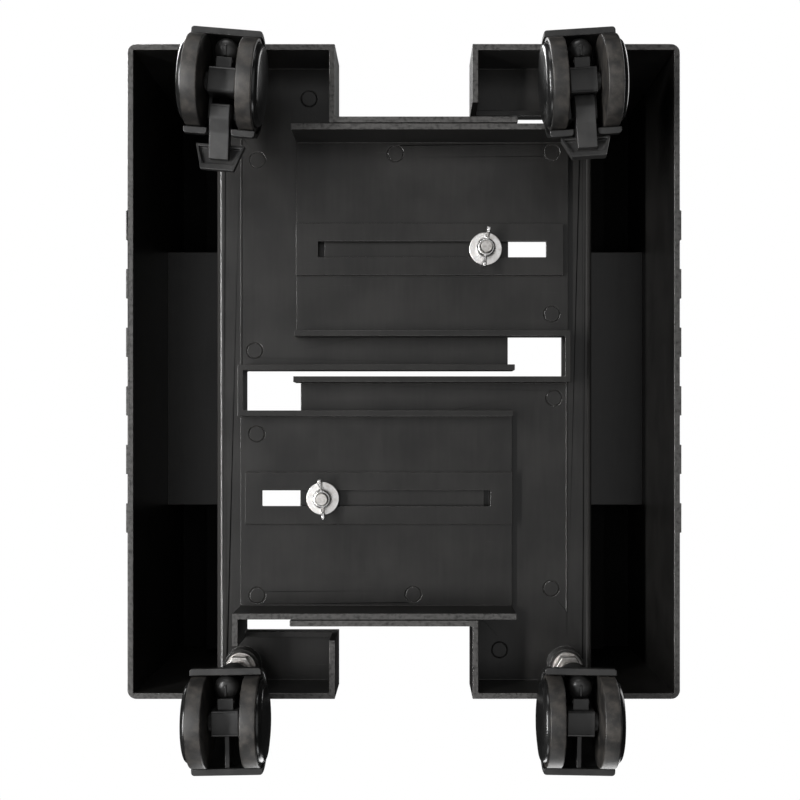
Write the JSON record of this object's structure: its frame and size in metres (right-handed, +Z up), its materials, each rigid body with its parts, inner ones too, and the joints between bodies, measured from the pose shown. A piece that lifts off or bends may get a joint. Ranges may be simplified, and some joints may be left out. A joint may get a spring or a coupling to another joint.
{
  "type": "mobile computer tower stand",
  "caption": "Rolling stand for a desktop computer tower: two sliding moulded trays with hollow side walls, clamped by wing nuts, on hooded twin-wheel casters, two of them braked.",
  "frame": {"origin": "centre of the footprint of the whole stand, on the floor", "axes": "+Z up, +Y to the rear along the side walls, +X to the right across the computer bay"},
  "size_m": [0.256, 0.3296, 0.1675],
  "materials": {
    "tray_plastic": "satin injection-moulded black plastic",
    "hood_nylon": "satin black nylon",
    "wheel_nylon": "scuffed black nylon",
    "cap_nylon": "semi-gloss black nylon",
    "lever_nylon": "satin black nylon",
    "zinc": "zinc plated",
    "washer_zinc": "zinc plated",
    "wing_zinc": "bright zinc plated",
    "steel": "plain steel",
    "spring_steel": "dark spring steel"
  },
  "bodies": {
    "left_half": {"left_tray": "tray_plastic", "left_clamp_bolt": "zinc", "left_clamp_washer": "washer_zinc", "front_left_stem": "zinc", "front_left_grip_ring": "spring_steel", "front_left_stem_washer": "zinc", "front_left_jam_nut": "zinc", "front_left_stem_nut": "zinc", "rear_left_stem": "zinc", "rear_left_grip_ring": "spring_steel", "rear_left_stem_washer": "zinc", "rear_left_jam_nut": "zinc", "rear_left_stem_nut": "zinc"},
    "right_half": {"right_tray": "tray_plastic", "right_clamp_bolt": "zinc", "right_clamp_washer": "washer_zinc", "front_right_stem": "zinc", "front_right_grip_ring": "spring_steel", "front_right_stem_washer": "zinc", "front_right_jam_nut": "zinc", "front_right_stem_nut": "zinc", "rear_right_stem": "zinc", "rear_right_grip_ring": "spring_steel", "rear_right_stem_washer": "zinc", "rear_right_jam_nut": "zinc", "rear_right_stem_nut": "zinc"},
    "left_nut": {"left_wing_nut": "wing_zinc"},
    "right_nut": {"right_wing_nut": "wing_zinc"},
    "front_left_caster": {"front_left_hood": "hood_nylon", "front_left_axle": "steel", "front_left_brake_pin": "steel"},
    "front_left_left_wheel": {"front_left_wheel_left": "wheel_nylon", "front_left_cap_left": "cap_nylon"},
    "front_left_right_wheel": {"front_left_wheel_right": "wheel_nylon", "front_left_cap_right": "cap_nylon"},
    "front_left_lever": {"front_left_brake_lever": "lever_nylon"},
    "front_right_caster": {"front_right_hood": "hood_nylon", "front_right_axle": "steel", "front_right_brake_pin": "steel"},
    "front_right_left_wheel": {"front_right_wheel_left": "wheel_nylon", "front_right_cap_left": "cap_nylon"},
    "front_right_right_wheel": {"front_right_wheel_right": "wheel_nylon", "front_right_cap_right": "cap_nylon"},
    "front_right_lever": {"front_right_brake_lever": "lever_nylon"},
    "rear_left_caster": {"rear_left_hood": "hood_nylon", "rear_left_axle": "steel"},
    "rear_left_left_wheel": {"rear_left_wheel_left": "wheel_nylon", "rear_left_cap_left": "cap_nylon"},
    "rear_left_right_wheel": {"rear_left_wheel_right": "wheel_nylon", "rear_left_cap_right": "cap_nylon"},
    "rear_right_caster": {"rear_right_hood": "hood_nylon", "rear_right_axle": "steel"},
    "rear_right_left_wheel": {"rear_right_wheel_left": "wheel_nylon", "rear_right_cap_left": "cap_nylon"},
    "rear_right_right_wheel": {"rear_right_wheel_right": "wheel_nylon", "rear_right_cap_right": "cap_nylon"}
  },
  "joints": [
    {"name": "width_slide", "type": "slide", "parent": "left_half", "child": "right_half", "axis": [1, 0, 0], "range_m": [-0.023, 0.075]},
    {"name": "left_nut_turn", "type": "hinge", "parent": "left_half", "child": "left_nut", "pos_m": [0.039, -0.07373, 0.05], "axis": [0, 0, 1], "range_deg": [-540, 0]},
    {"name": "right_nut_turn", "type": "hinge", "parent": "right_half", "child": "right_nut", "pos_m": [-0.039, 0.04587, 0.05], "axis": [0, 0, 1], "range_deg": [-540, 0]},
    {"name": "front_left_swivel", "type": "hinge", "parent": "left_half", "child": "front_left_caster", "pos_m": [-0.0779, -0.15433, 0.04], "axis": [0, 0, 1], "continuous": true},
    {"name": "front_left_left_spin", "type": "hinge", "parent": "front_left_caster", "child": "front_left_left_wheel", "pos_m": [-0.09071, -0.14074, 0.02], "axis": [0.9966, 0.0819, 0], "continuous": true},
    {"name": "front_left_right_spin", "type": "hinge", "parent": "front_left_caster", "child": "front_left_right_wheel", "pos_m": [-0.06749, -0.13883, 0.02], "axis": [0.9966, 0.0819, 0], "continuous": true},
    {"name": "front_left_brake", "type": "hinge", "parent": "front_left_caster", "child": "front_left_lever", "pos_m": [-0.08, -0.12882, 0.0296], "axis": [0.9966, 0.0819, 0], "range_deg": [-20, 0]},
    {"name": "front_right_swivel", "type": "hinge", "parent": "right_half", "child": "front_right_caster", "pos_m": [0.0779, -0.15433, 0.04], "axis": [0, 0, 1], "continuous": true},
    {"name": "front_right_left_spin", "type": "hinge", "parent": "front_right_caster", "child": "front_right_left_wheel", "pos_m": [0.06719, -0.13903, 0.02], "axis": [0.998, -0.0628, 0], "continuous": true},
    {"name": "front_right_right_spin", "type": "hinge", "parent": "front_right_caster", "child": "front_right_right_wheel", "pos_m": [0.09044, -0.1405, 0.02], "axis": [0.998, -0.0628, 0], "continuous": true},
    {"name": "front_right_brake", "type": "hinge", "parent": "front_right_caster", "child": "front_right_lever", "pos_m": [0.07951, -0.12879, 0.0296], "axis": [0.998, -0.0628, 0], "range_deg": [0, 20]},
    {"name": "rear_left_swivel", "type": "hinge", "parent": "left_half", "child": "rear_left_caster", "pos_m": [-0.0779, 0.12646, 0.04], "axis": [0, 0, 1], "continuous": true},
    {"name": "rear_left_left_spin", "type": "hinge", "parent": "rear_left_caster", "child": "rear_left_left_wheel", "pos_m": [-0.08929, 0.14127, 0.02], "axis": [0.9998, -0.0175, 0], "continuous": true},
    {"name": "rear_left_right_spin", "type": "hinge", "parent": "rear_left_caster", "child": "rear_left_right_wheel", "pos_m": [-0.066, 0.14086, 0.02], "axis": [0.9998, -0.0175, 0], "continuous": true},
    {"name": "rear_right_swivel", "type": "hinge", "parent": "right_half", "child": "rear_right_caster", "pos_m": [0.0779, 0.12646, 0.04], "axis": [0, 0, 1], "continuous": true},
    {"name": "rear_right_left_spin", "type": "hinge", "parent": "rear_right_caster", "child": "rear_right_left_wheel", "pos_m": [0.066, 0.14086, 0.02], "axis": [0.9998, 0.0175, 0], "continuous": true},
    {"name": "rear_right_right_spin", "type": "hinge", "parent": "rear_right_caster", "child": "rear_right_right_wheel", "pos_m": [0.08929, 0.14127, 0.02], "axis": [0.9998, 0.0175, 0], "continuous": true}
  ]
}
